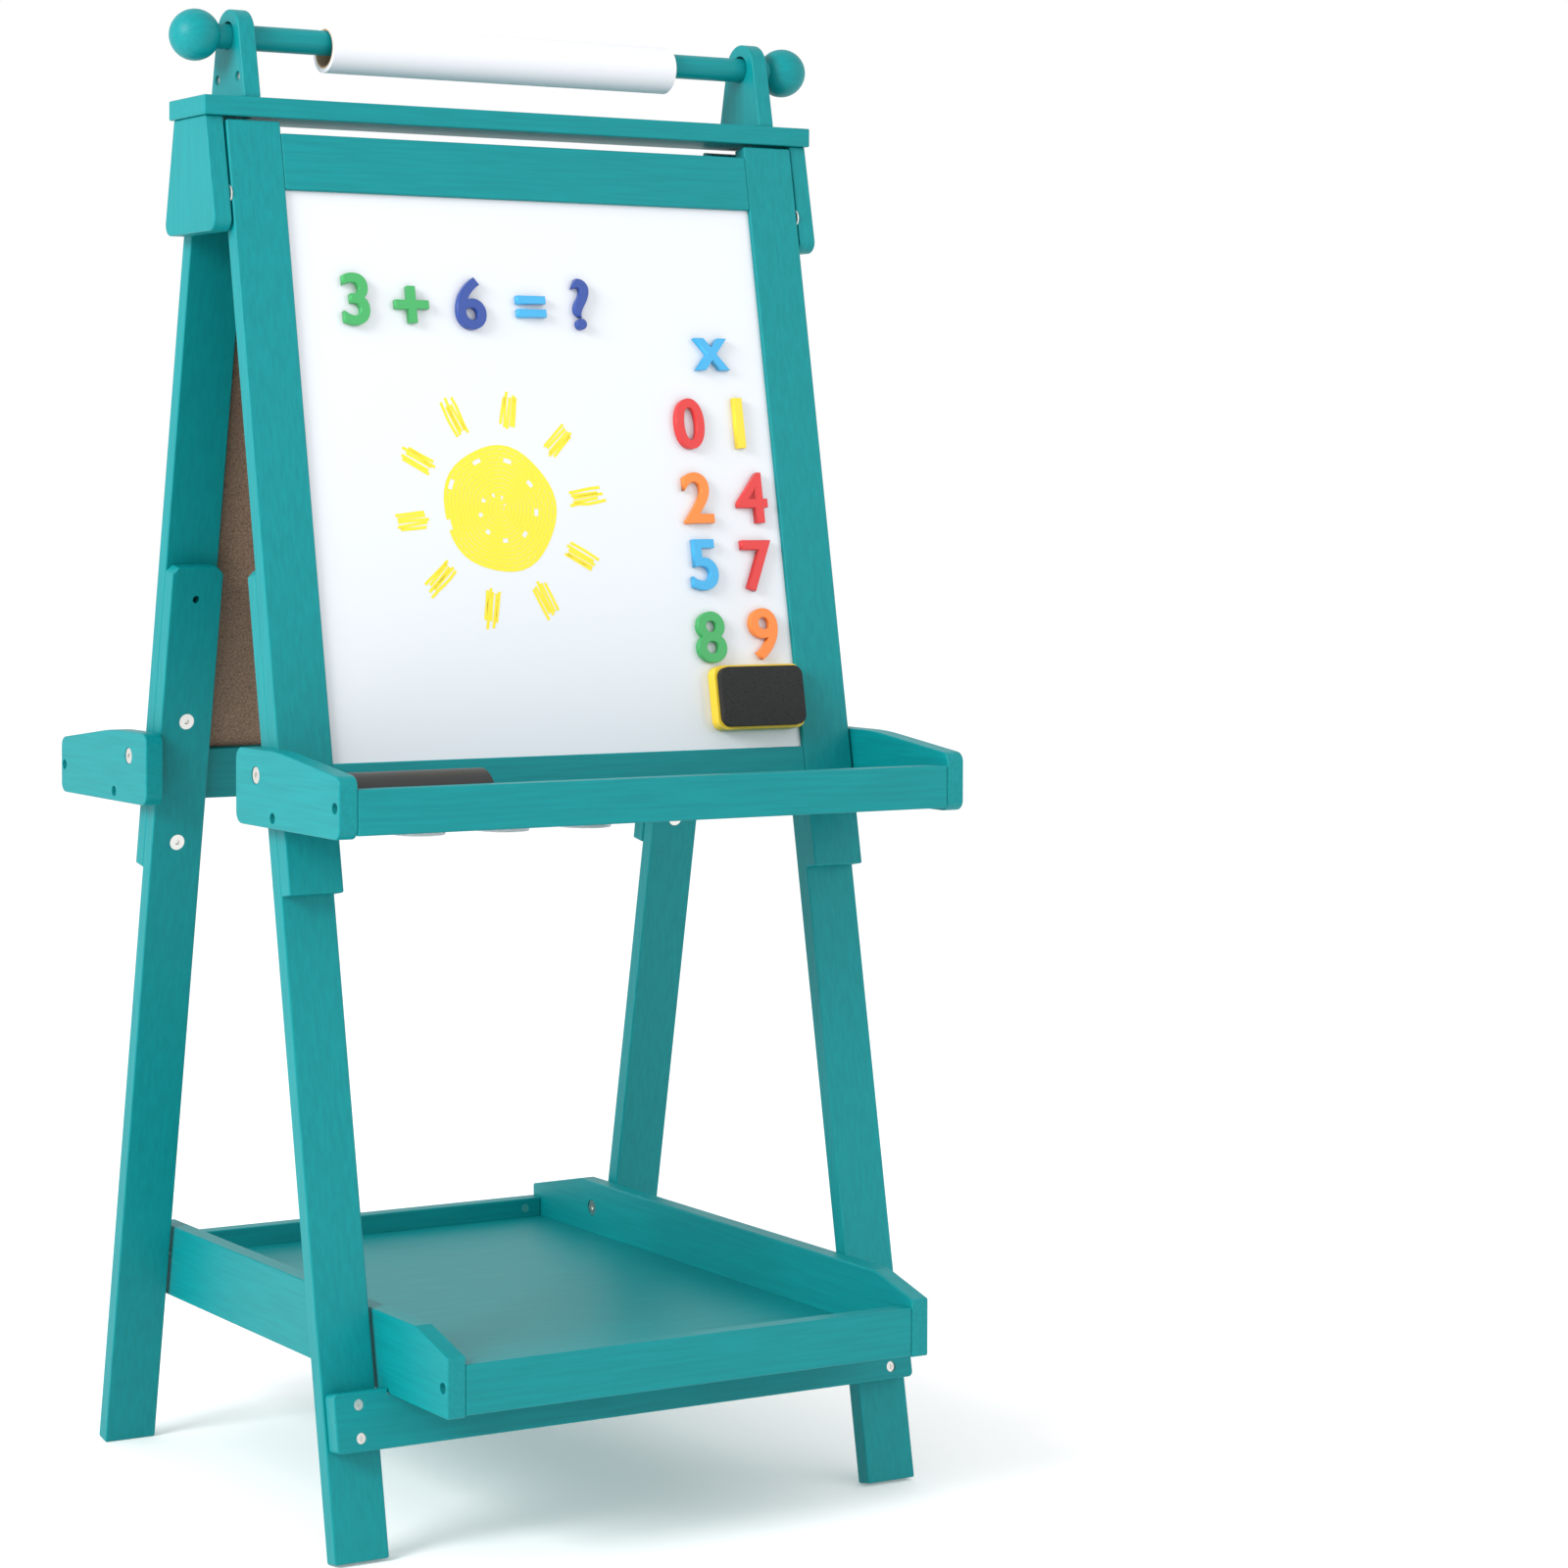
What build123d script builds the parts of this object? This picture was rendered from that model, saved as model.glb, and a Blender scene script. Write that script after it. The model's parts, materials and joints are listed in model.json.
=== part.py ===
"""A children's double-sided folding easel, built as an assembly of separate named pieces.

+Z is up, the whiteboard faces -Y and the chalkboard faces +Y. The origin is on the floor, under the
middle of the easel. Lengths are millimetres and angles are degrees.

Two frames hang from ears under the top board and lean apart. In a frame's own plane, `across` runs
sideways from its middle, `down` runs down the frame from the stiles' tops, and `out` is the distance
in front of the stiles' outer faces. In a side view, `reach` is the distance away from the middle of
the easel, towards the side that the frame faces.
"""

import os
from math import atan2, cos, degrees, hypot, radians, sin, tan

from build123d import *

# Driving dimensions: stock, frames and legs
FRAME_STOCK = 14.0  # thickness of stiles, rails and legs
BOARD = 15.0  # thickness of the other painted boards
LIP = 14.0  # thickness of the lips
EDGE = 1.2  # softened edges
CORNER = 1.6  # softened corners of a board's outline
TILT = 10.6  # lean of each frame from the vertical when the easel is open
FRAME_WIDTH = 510.0
STILE_WIDTH = 45.0
STILE_LENGTH = 588.0
STILE_TOP_REACH = 31.0  # from the middle of the easel to a stile's outer face, at its top
TOP_RAIL_DROP = 9.0  # from the stiles' tops to the top rail
TOP_RAIL_HEIGHT = 44.0
BOTTOM_RAIL_HEIGHT = 41.0
OPENING_HEIGHT = 439.0  # the visible height of a board
BOARD_RECESS = 4.0  # from a frame's outer face to the board's face
SHEET = 0.8  # steel sheet of the whiteboard
BACKING = 3.0  # hardboard behind the sheet
GROOVE_DEPTH = 6.0
GROOVE_SLACK = 0.3
LEG_WIDTH = 44.0
LEG_LENGTH = 728.6
LEG_TOP_DROP = 342.0  # from the stiles' tops to the legs' tops
LEG_CHAMFER = 5.0
LEG_HOLE_PITCH = 98.5
LEG_HOLE_DROP = 25.5  # from a leg's top to its highest hole

# Driving dimensions: top board, ears and hinge
TOP_LENGTH = 548.0
TOP_DEPTH = 65.0
TOP_GAP = 2.5  # over the stiles
EAR_HEIGHT = 88.0
EAR_TOP = 57.0  # width of an ear at its top
EAR_BOTTOM = 93.0
EAR_CORNER = 9.0
EAR_GAP = 1.5
HINGE_DROP = 57.0
PIN_RADIUS = 3.0
PIN_IN_STILE = 25.0
PIN_IN_EAR = 11.0
WASHER_RADIUS = 8.0
WASHER = 1.1

# Driving dimensions: paper roll and its rod
BRACKET = 14.0
BRACKET_OUTER = 239.6  # from the middle to a bracket's outer face
BRACKET_FOOT = 60.0
BRACKET_HEAD_RADIUS = 20.0
BRACKET_BOLT = 34.0
BRACKET_NUT_RISE = 16.5
ROD_HOLE_RISE = 49.0  # centre of the rod's holes over the top board
ROD_RADIUS = 9.7
ROD_HOLE_RADIUS = 10.9
ROD_GAP = 0.3  # under the rod, in its holes
BALL_RADIUS = 19.75
BALL_REACH = 267.0
TENON_RADIUS = 5.0
ROLL_LENGTH = 310.0
ROLL_OFFSET = -2.0
ROLL_RADIUS = 18.75
CORE_RADIUS = 15.5
CORE_WALL = 1.3

# Driving dimensions: trays
TRAY_PIVOT_DROP = 497.7
TRAY_GAP = 1.5
TRAY_BACK = 34.0  # from the pivot to the back of an end plate
TRAY_FRONT = 136.0
TRAY_TOP = 19.3
TRAY_NOSE = 7.2  # height of an end plate's front corner over the pivot
TRAY_BOTTOM = 37.6
TRAY_BEND = 34.3  # from the pivot to the bend in an end plate's top edge
TRAY_BEND_RADIUS = 270.0
TRAY_CORNER = 8.0
LIP_HEIGHT = 33.0
LIP_RISE = 2.6  # lip's lower edge over the end plates'
LIP_SCREW_RISE = 20.0
RAIL_RISE = 0.3  # rail's lower edge over the end plates'
RAIL_DEPTH = 28.0
STOP_GAP = 0.3
TRAY_FLOOR = 6.0
TRAY_FLOOR_RISE = 2.0  # floor over the lip's lower edge
TRAY_TONGUE = 5.0

# Driving dimensions: paint cups
CUP_COUNT = 3
CUP_PITCH = 82.0
CUP_FIRST = 60.0  # from the end plate to the first cup's centre
CUP_RADIUS = 30.0
CUP_BASE_RADIUS = 23.0
CUP_DEPTH = 55.0
CUP_WALL = 1.4
CUP_RIM_RADIUS = 33.5
LID_RADIUS = 34.5
LID_RISE = 6.0
LID_FUNNEL = 16.0
PLUG_RADIUS = 8.5
PLUG_HEIGHT = 7.0
FIT_GAP = 1.0  # round a cup, in its hole

# Driving dimensions: bottom shelf and cross rail
CROSS_DROP = 949.0
CROSS_HEIGHT = 43.0
CROSS_LENGTH = 506.0
CROSS_CORNER = 4.0
CROSS_PROUD = 1.0  # cross rail's front face in front of the stiles'
CROSS_SCREW_SPACING = 24.0
NOTCH_SLACK = 1.5  # beside a side board of the shelf, in its notch
NOTCH_CORNER = 3.0
SHELF_SEAT = 4.5  # how far the shelf sits below the cross rail's top
SHELF_HALF_WIDTH = 208.0
SHELF_HEIGHT = 57.6
SHELF_FRONT = 296.0
SHELF_BACK = 280.5
HINGE_Y = (SHELF_FRONT - SHELF_BACK) / 2  # puts the middle of the overall box at the origin
SHELF_FRONT_CLIP = 50.0
SHELF_FRONT_FALL = 13.8
SHELF_BACK_CLIP = 81.5
SHELF_BACK_FALL = 17.8
SHELF_PIVOT_RISE = 34.8
SHELF_FLOOR_RISE = 5.2
SHELF_FLOOR = 8.0
SHELF_LIP_RISE = 1.3
FRONT_LIP_HEIGHT = 36.5
BACK_LIP_HEIGHT = 28.5

# Driving dimensions: fasteners
BOLT_RADIUS = 3.0
BOLT_HEAD_RADIUS = 6.2
BOLT_HEAD = 3.0
BOLT_SOCKET_RADIUS = 2.3
BOLT_SOCKET_DEPTH = 1.8
BOLT_LENGTH = 38.0
LEG_BOLT_LENGTH = 26.0
FIT = 0.05  # radial clearance of a shaft in its hole
HEAD_GAP = 0.5
SCREW_RADIUS = 2.2
SCREW_HEAD_RADIUS = 4.1
SCREW_LENGTH = 26.0
SCREW_SINK = 5.0  # depth of a sunk screw head below the surface
NUT_RADIUS = 3.9
NUT_LENGTH = 11.0
NUT_REACH = 16.0  # from the end of a rail to its barrel nut
DOWEL_RADIUS = 4.0
DOWEL_LENGTH = 30.0
DOWEL_SPACING = 18.0

# Driving dimensions: accessories
NUMERAL = 5.7
NUMERAL_GRID = 8.6
NUMERAL_STROKE = 7.0
BOARD_ERASER = (81.0, 51.0)
BOARD_ERASER_AT = (169.0, 452.0)
ERASER_BODY = 10.0
ERASER_FELT = 5.7
FELT_INSET = 2.0
ERASER_CORNER = 8.0
TRAY_ERASER = (115.0, 46.0)
TRAY_ERASER_AT = (-192.5, 213.0)  # across, and reach
DOME = 26.0
DOME_BASE = 8.0
AIR = 0.3  # between a loose piece and what it lies on

# Sizes that follow
LEAN = radians(TILT)
HALF = FRAME_WIDTH / 2
INNER = HALF - STILE_WIDTH  # half of the opening's width
OPENING_TOP = TOP_RAIL_DROP + TOP_RAIL_HEIGHT
OPENING_BOTTOM = OPENING_TOP + OPENING_HEIGHT
LEG_END = LEG_TOP_DROP + LEG_LENGTH
STILE_TOP_Z = LEG_END * cos(LEAN) + 2 * FRAME_STOCK * sin(LEAN)  # the legs stand on the floor
TOP_UNDER = STILE_TOP_Z + TOP_GAP
TOP_OVER = TOP_UNDER + BOARD
EAR_INNER = HALF + EAR_GAP
LEG_MIDDLE = HALF - LEG_WIDTH / 2
ROD_HOLE_Z = TOP_OVER + ROD_HOLE_RISE
ROD_Z = ROD_HOLE_Z - (ROD_HOLE_RADIUS - ROD_RADIUS - ROD_GAP)
TRAY_INNER = HALF + TRAY_GAP


def side_point(down, out):
    """Reach and height of a point given in a frame's own plane."""
    reach = STILE_TOP_REACH + down * sin(LEAN) + out * cos(LEAN)
    height = STILE_TOP_Z - down * cos(LEAN) + out * sin(LEAN)
    return reach, height


def face_reach(height):
    """Reach of a stile's outer face at a height."""
    return STILE_TOP_REACH + (STILE_TOP_Z - height) * tan(LEAN)


def frame_plane(facing, out=0.0):
    """The plane of a frame's outer face: X runs across and Y up the frame. facing is -1 or 1."""
    outward = (0, facing * cos(LEAN), sin(LEAN))
    face = Plane(
        origin=(0, facing * STILE_TOP_REACH, STILE_TOP_Z), x_dir=(-facing, 0, 0), z_dir=outward
    )
    return face.offset(out)


def side_plane(facing, across):
    """An upright plane across the easel: X is the reach and Y the height. It extrudes inwards."""
    return Plane(origin=(-facing * across, 0, 0), x_dir=(0, facing, 0), z_dir=(facing, 0, 0))


def level_plane(facing, height):
    """A level plane: X runs across, and Y runs towards the middle of the easel."""
    return Plane(origin=(0, 0, height), x_dir=(-facing, 0, 0), z_dir=(0, 0, 1))


def extrude_board(plane, points, radii, thickness):
    """Add a board of a rounded outline to the part in progress, and soften its edges."""
    with BuildSketch(plane) as profile:
        with BuildLine():
            FilletPolyline(*points, radius=radii, close=True)
        make_face()
    extrude(profile.sketch, amount=thickness)
    through = Axis(plane.origin, plane.z_dir)
    sides = faces(Select.LAST).filter_by(through).sort_by(through)
    fillet(sides[0].edges() + sides[-1].edges(), EDGE)


def rectangle(x_low, x_high, y_low, y_high):
    """The corners of an upright rectangle."""
    return [(x_low, y_low), (x_high, y_low), (x_high, y_high), (x_low, y_high)]


def extrude_rectangle(plane, x_range, y_range, thickness):
    """Add a rectangular board to the part in progress."""
    points = rectangle(*x_range, *y_range)
    extrude_board(plane, points, [CORNER] * len(points), thickness)


def cut_box(plane, x_range, y_range, depth):
    """Cut a box down from a plane into the part in progress."""
    with BuildSketch(plane) as profile:
        with Locations(((x_range[0] + x_range[1]) / 2, (y_range[0] + y_range[1]) / 2)):
            Rectangle(x_range[1] - x_range[0], y_range[1] - y_range[0])
    extrude(profile.sketch, amount=-depth, mode=Mode.SUBTRACT)


def cylinder(plane, centre, radius, length, mode=Mode.ADD):
    """A round pin or hole that starts on a plane and runs down from it."""
    with BuildSketch(plane) as profile:
        with Locations(centre):
            Circle(radius)
    extrude(profile.sketch, amount=-length, mode=mode)


def finish(builder, label):
    """Name a finished piece and write it."""
    builder.part.label = label
    export_step(builder.part.moved(Location((0, HINGE_Y, 0))), f"parts/{label}.step")


def add_bolt(plane, centre, length):
    """A flat-headed bolt with a hexagon socket, its head's top face on the plane."""
    cylinder(plane, centre, BOLT_HEAD_RADIUS, BOLT_HEAD)
    cylinder(plane, centre, BOLT_RADIUS, length)
    with BuildSketch(plane) as profile:
        with Locations(centre):
            RegularPolygon(BOLT_SOCKET_RADIUS, 6)
    extrude(profile.sketch, amount=-BOLT_SOCKET_DEPTH, mode=Mode.SUBTRACT)


def cut_bolt(plane, centre, length, gap):
    """The sunk hole of such a bolt."""
    cylinder(plane, centre, BOLT_HEAD_RADIUS + gap, BOLT_HEAD + gap, Mode.SUBTRACT)
    cylinder(plane, centre, BOLT_RADIUS + FIT, length + gap, Mode.SUBTRACT)


def add_screw(plane, centre, length):
    """A countersunk screw with a cross slot, its head's top face on the plane."""
    cylinder(plane, centre, SCREW_RADIUS, length)
    with BuildSketch(plane) as profile:
        with Locations(centre):
            Circle(SCREW_HEAD_RADIUS)
    extrude(profile.sketch, amount=-(SCREW_HEAD_RADIUS - SCREW_RADIUS), taper=45)
    for turn in (0, 90):
        with BuildSketch(plane) as profile:
            with Locations(centre):
                Rectangle(SCREW_HEAD_RADIUS, SCREW_RADIUS / 3, rotation=turn)
        extrude(profile.sketch, amount=-SCREW_RADIUS / 2, mode=Mode.SUBTRACT)


def cut_screw(plane, centre, length, sink):
    """The hole of such a screw, with its head sunk below the plane."""
    cylinder(plane, centre, SCREW_HEAD_RADIUS + FIT, sink, Mode.SUBTRACT)
    seat = plane.offset(-sink)
    cylinder(seat, centre, SCREW_RADIUS + FIT, length + FIT, Mode.SUBTRACT)
    with BuildSketch(seat) as profile:
        with Locations(centre):
            Circle(SCREW_HEAD_RADIUS + FIT)
    extrude(profile.sketch, amount=-(SCREW_HEAD_RADIUS - SCREW_RADIUS), taper=45, mode=Mode.SUBTRACT)


# Top board, ears and hinge


def hinge_point():
    """Reach and height of a hinge pin, in the middle of the stiles' thickness."""
    return side_point(HINGE_DROP, -FRAME_STOCK / 2)


def ear_outline():
    """Half-widths and heights of an ear."""
    low = TOP_UNDER - EAR_HEIGHT
    half_top, half_bottom = EAR_TOP / 2, EAR_BOTTOM / 2
    return [(-half_bottom, low), (half_bottom, low), (half_top, TOP_UNDER), (-half_top, TOP_UNDER)]


def ear_dowel_places():
    """Where the dowels join the ears to the top board, as X and Y."""
    middle = EAR_INNER + BOARD / 2
    return [(x, y) for x in (-middle, middle) for y in (-DOWEL_SPACING, DOWEL_SPACING)]


def bracket_bolt_places():
    """Where bolts come up through the top board into the brackets, as X and Y."""
    middle = BRACKET_OUTER - BRACKET / 2
    return [(x, y) for x in (-middle, middle) for y in (-DOWEL_SPACING, DOWEL_SPACING)]


def make_top_board():
    under = Plane.XY.offset(TOP_UNDER)
    with BuildPart() as board:
        extrude_rectangle(
            under, (-TOP_LENGTH / 2, TOP_LENGTH / 2), (-TOP_DEPTH / 2, TOP_DEPTH / 2), BOARD
        )
        for x, y in ear_dowel_places():
            depth = BOARD / 2
            cylinder(under.offset(depth), (x, y), DOWEL_RADIUS + FIT, depth, Mode.SUBTRACT)
        for x, y in bracket_bolt_places():
            cylinder(under.offset(BOARD), (x, y), SCREW_RADIUS + FIT, BOARD, Mode.SUBTRACT)
            cylinder(under.offset(SCREW_SINK), (x, y), SCREW_HEAD_RADIUS + FIT, SCREW_SINK, Mode.SUBTRACT)
    finish(board, "top_board")


def make_ear(side, label):
    """side is -1 for the ear at -X and 1 for the other."""
    outer = EAR_INNER + BOARD if side > 0 else -EAR_INNER
    pin_reach, pin_height = hinge_point()
    hole_start = EAR_INNER + PIN_IN_EAR if side > 0 else -EAR_INNER
    with BuildPart() as ear:
        radii = [EAR_CORNER, EAR_CORNER, CORNER, CORNER]
        extrude_board(side_plane(-1, outer), ear_outline(), radii, BOARD)
        for reach in (-pin_reach, pin_reach):
            with BuildSketch(side_plane(-1, hole_start)):
                with Locations((reach, pin_height)):
                    Circle(PIN_RADIUS + FIT)
            extrude(amount=PIN_IN_EAR, mode=Mode.SUBTRACT)
        for x, y in ear_dowel_places():
            depth = DOWEL_LENGTH - BOARD / 2
            cylinder(Plane.XY.offset(TOP_UNDER), (x, y), DOWEL_RADIUS + FIT, depth, Mode.SUBTRACT)
    finish(ear, label)


def make_ear_dowels():
    top = Plane.XY.offset(TOP_UNDER + BOARD / 2 - FIT)
    with BuildPart() as dowels:
        for place in ear_dowel_places():
            cylinder(top, place, DOWEL_RADIUS, DOWEL_LENGTH - 2 * FIT)
    finish(dowels, "ear_dowels")


def make_hinge_pins():
    """The four steel hinge pins and the washers that keep the stiles off the ears."""
    pin_reach, pin_height = hinge_point()
    length = PIN_IN_STILE + EAR_GAP + PIN_IN_EAR - 2 * FIT
    with BuildPart() as pins:
        for side in (-1, 1):
            pin_end = EAR_INNER + PIN_IN_EAR - FIT if side > 0 else -(HALF - PIN_IN_STILE) - FIT
            washer_end = EAR_INNER if side > 0 else -EAR_INNER + WASHER
            for reach in (-pin_reach, pin_reach):
                with BuildSketch(side_plane(-1, pin_end)):
                    with Locations((reach, pin_height)):
                        Circle(PIN_RADIUS)
                extrude(amount=length)
                with BuildSketch(side_plane(-1, washer_end)):
                    with Locations((reach, pin_height)):
                        Circle(WASHER_RADIUS)
                extrude(amount=WASHER)
    finish(pins, "hinge_pins")


# Roll brackets, rod and paper


def make_bracket(side, label):
    outer = BRACKET_OUTER if side > 0 else -(BRACKET_OUTER - BRACKET)
    with BuildPart() as bracket:
        with BuildSketch(side_plane(-1, outer)):
            with Locations((0, ROD_HOLE_Z)):
                Circle(BRACKET_HEAD_RADIUS)
            with Locations((0, TOP_OVER + EDGE)):
                Rectangle(BRACKET_FOOT, 2 * EDGE)
            make_hull()
        extrude(amount=BRACKET)
        sides = bracket.faces().filter_by(Axis.X).sort_by(Axis.X)
        fillet(sides[0].edges() + sides[-1].edges(), EDGE)
        with BuildSketch(side_plane(-1, outer)):
            with Locations((0, ROD_HOLE_Z)):
                Circle(ROD_HOLE_RADIUS)
        extrude(amount=BRACKET, mode=Mode.SUBTRACT)
        depth = BRACKET_BOLT - BOARD + SCREW_SINK
        for x, y in bracket_bolt_places():
            if x * side > 0:
                foot = Plane.XY.offset(TOP_OVER + depth)
                cylinder(foot, (x, y), SCREW_RADIUS + FIT, depth, Mode.SUBTRACT)
                outside = Plane.YZ.offset(side * BRACKET_OUTER)
                hole = side * (NUT_LENGTH + FIT)
                cylinder(outside, (y, TOP_OVER + BRACKET_NUT_RISE), NUT_RADIUS + FIT, hole, Mode.SUBTRACT)
    finish(bracket, label)


def make_bracket_bolts():
    """Four bolts with four barrel nuts, set a little below the brackets' outer faces."""
    seat = TOP_UNDER + SCREW_SINK - SCREW_RADIUS
    head = Plane(origin=(0, 0, seat), x_dir=(1, 0, 0), z_dir=(0, 0, -1))
    with BuildPart() as bolts:
        for x, y in bracket_bolt_places():
            cylinder(head, (x, -y), SCREW_RADIUS, BRACKET_BOLT - FIT)
            cylinder(head, (x, -y), SCREW_HEAD_RADIUS, SCREW_RADIUS)
            side = 1 if x > 0 else -1
            sunk = Plane.YZ.offset(side * (BRACKET_OUTER - CORNER))
            place = (y, TOP_OVER + BRACKET_NUT_RISE)
            cylinder(sunk, place, NUT_RADIUS, side * (NUT_LENGTH - CORNER))
    finish(bolts, "bracket_bolts")


def make_rod():
    end = BALL_REACH
    with BuildPart() as rod:
        cylinder(Plane.YZ.offset(end - BALL_RADIUS / 2), (0, ROD_Z), ROD_RADIUS, 2 * end - BALL_RADIUS)
        cylinder(Plane.YZ.offset(end), (0, ROD_Z), TENON_RADIUS, 2 * end)
    finish(rod, "paper_rod")


def make_balls():
    """The balls that are glued on the rod's ends."""
    with BuildPart() as balls:
        for side in (-1, 1):
            with BuildSketch(Plane.XZ):
                with Locations((side * BALL_REACH, ROD_Z)):
                    Circle(BALL_RADIUS)
                    half = (2 * BALL_RADIUS, BALL_RADIUS)
                    Rectangle(*half, align=(Align.CENTER, Align.MAX), mode=Mode.SUBTRACT)
            revolve(axis=Axis((0, 0, ROD_Z), (1, 0, 0)))
            rod_end = BALL_REACH - BALL_RADIUS / 2
            for radius, end in ((ROD_RADIUS, rod_end), (TENON_RADIUS, BALL_REACH)):
                bottom = Plane.YZ.offset(side * (end + FIT))
                depth = side * 2 * BALL_RADIUS
                cylinder(bottom, (0, ROD_Z), radius + FIT, depth, Mode.SUBTRACT)
    finish(balls, "rod_balls")


def make_tube(label, outer, inner, axis_z):
    """A tube of the paper roll's length round the rod."""
    with BuildPart() as tube:
        with BuildSketch(Plane.YZ.offset(ROLL_OFFSET - ROLL_LENGTH / 2)):
            with Locations((0, axis_z)):
                Circle(outer)
                Circle(inner, mode=Mode.SUBTRACT)
        extrude(amount=ROLL_LENGTH)
    finish(tube, label)


def make_paper():
    """Paper wound on a cardboard core that hangs on the rod."""
    axis_z = ROD_Z + ROD_RADIUS + AIR - (CORE_RADIUS - CORE_WALL)
    make_tube("paper_core", CORE_RADIUS, CORE_RADIUS - CORE_WALL, axis_z)
    make_tube("paper_roll", ROLL_RADIUS, CORE_RADIUS, axis_z)


# Frames


def world_side(facing, side):
    """left is the -X end, whichever way the frame faces."""
    return "left" if -facing * side < 0 else "right"


def frame_dowel_places():
    """Where dowels join the rails to the stiles, as distances down the frame."""
    top = TOP_RAIL_DROP + (TOP_RAIL_HEIGHT - GROOVE_DEPTH) / 2
    bottom = OPENING_BOTTOM + (BOTTOM_RAIL_HEIGHT + GROOVE_DEPTH) / 2
    half = DOWEL_SPACING / 2
    return [down + shift for down in (top, bottom) for shift in (-half, half)]


def cut_across(facing, outer, down, radius, depth):
    """A hole in the edge of a stile or rail, along X, in the middle of its thickness."""
    reach, height = side_point(down, -FRAME_STOCK / 2)
    with BuildSketch(side_plane(facing, outer)) as profile:
        with Locations((reach, height)):
            Circle(radius)
    extrude(profile.sketch, amount=depth, mode=Mode.SUBTRACT)


def groove(facing, across, down):
    """The groove that holds the board, from a frame's opening into the wood."""
    front = BOARD_RECESS - GROOVE_SLACK / 2
    depth = SHEET + BACKING + GROOVE_SLACK
    cut_box(frame_plane(facing, -front), across, (-down[1], -down[0]), depth)


def panel_half_width():
    return INNER + GROOVE_DEPTH - GROOVE_SLACK


def make_stile(facing, side, name):
    face = frame_plane(facing)
    across = sorted((side * INNER, side * HALF))
    with BuildPart() as stile:
        extrude_rectangle(face.offset(-FRAME_STOCK), across, (-STILE_LENGTH, 0), FRAME_STOCK)
        edge = sorted((side * (INNER - EDGE), side * (INNER + GROOVE_DEPTH)))
        groove(facing, edge, (OPENING_TOP - GROOVE_DEPTH, OPENING_BOTTOM + GROOVE_DEPTH))
        outer = HALF if side > 0 else -(HALF - PIN_IN_STILE)
        cut_across(facing, outer, HINGE_DROP, PIN_RADIUS + FIT, PIN_IN_STILE)
        cut_across(facing, outer, TRAY_PIVOT_DROP, BOLT_RADIUS + FIT, PIN_IN_STILE)
        half_dowel = DOWEL_LENGTH / 2
        inner = INNER + half_dowel if side > 0 else -INNER
        for down in frame_dowel_places():
            cut_across(facing, inner, down, DOWEL_RADIUS + FIT, half_dowel)
        for down in leg_bolt_drops():
            depth = LEG_BOLT_LENGTH - FRAME_STOCK + FIT
            inner_face = frame_plane(facing, -FRAME_STOCK + depth)
            cylinder(inner_face, (side * LEG_MIDDLE, -down), BOLT_RADIUS + FIT, depth, Mode.SUBTRACT)
    finish(stile, f"{name}_{world_side(facing, side)}_stile")


def make_rail(facing, top, height, groove_at, label):
    """A rail between the stiles. groove_at is where its groove starts and ends, down the frame."""
    face = frame_plane(facing)
    with BuildPart() as rail:
        extrude_rectangle(face.offset(-FRAME_STOCK), (-INNER, INNER), (-(top + height), -top), FRAME_STOCK)
        groove(facing, (-INNER - EDGE, INNER + EDGE), groove_at)
        half_dowel = DOWEL_LENGTH / 2
        for down in frame_dowel_places():
            if top < down < top + height:
                cut_across(facing, INNER, down, DOWEL_RADIUS + FIT, half_dowel)
                cut_across(facing, -INNER + half_dowel, down, DOWEL_RADIUS + FIT, half_dowel)
    finish(rail, label)


def make_frame_dowels(facing, label):
    with BuildPart() as dowels:
        for side in (-1, 1):
            for down in frame_dowel_places():
                reach, height = side_point(down, -FRAME_STOCK / 2)
                end = side * INNER + DOWEL_LENGTH / 2 - FIT
                with BuildSketch(side_plane(facing, end)):
                    with Locations((reach, height)):
                        Circle(DOWEL_RADIUS)
                extrude(amount=DOWEL_LENGTH - 2 * FIT)
    finish(dowels, label)


def make_panel(facing, out, thickness, label):
    """A flat sheet held in the frame's grooves. out is its outer face."""
    half = panel_half_width()
    slack = GROOVE_DEPTH - GROOVE_SLACK
    with BuildPart() as panel:
        with BuildSketch(frame_plane(facing, out)):
            middle = (OPENING_TOP + OPENING_BOTTOM) / 2
            with Locations((0, -middle)):
                Rectangle(2 * half, OPENING_HEIGHT + 2 * slack)
        extrude(amount=-thickness)
    finish(panel, label)


# Legs


def leg_bolt_drops():
    """Distances down the frame of the two bolts that hold each leg."""
    first = LEG_TOP_DROP + LEG_HOLE_DROP
    return [first + LEG_HOLE_PITCH, first + 2 * LEG_HOLE_PITCH]


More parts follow.
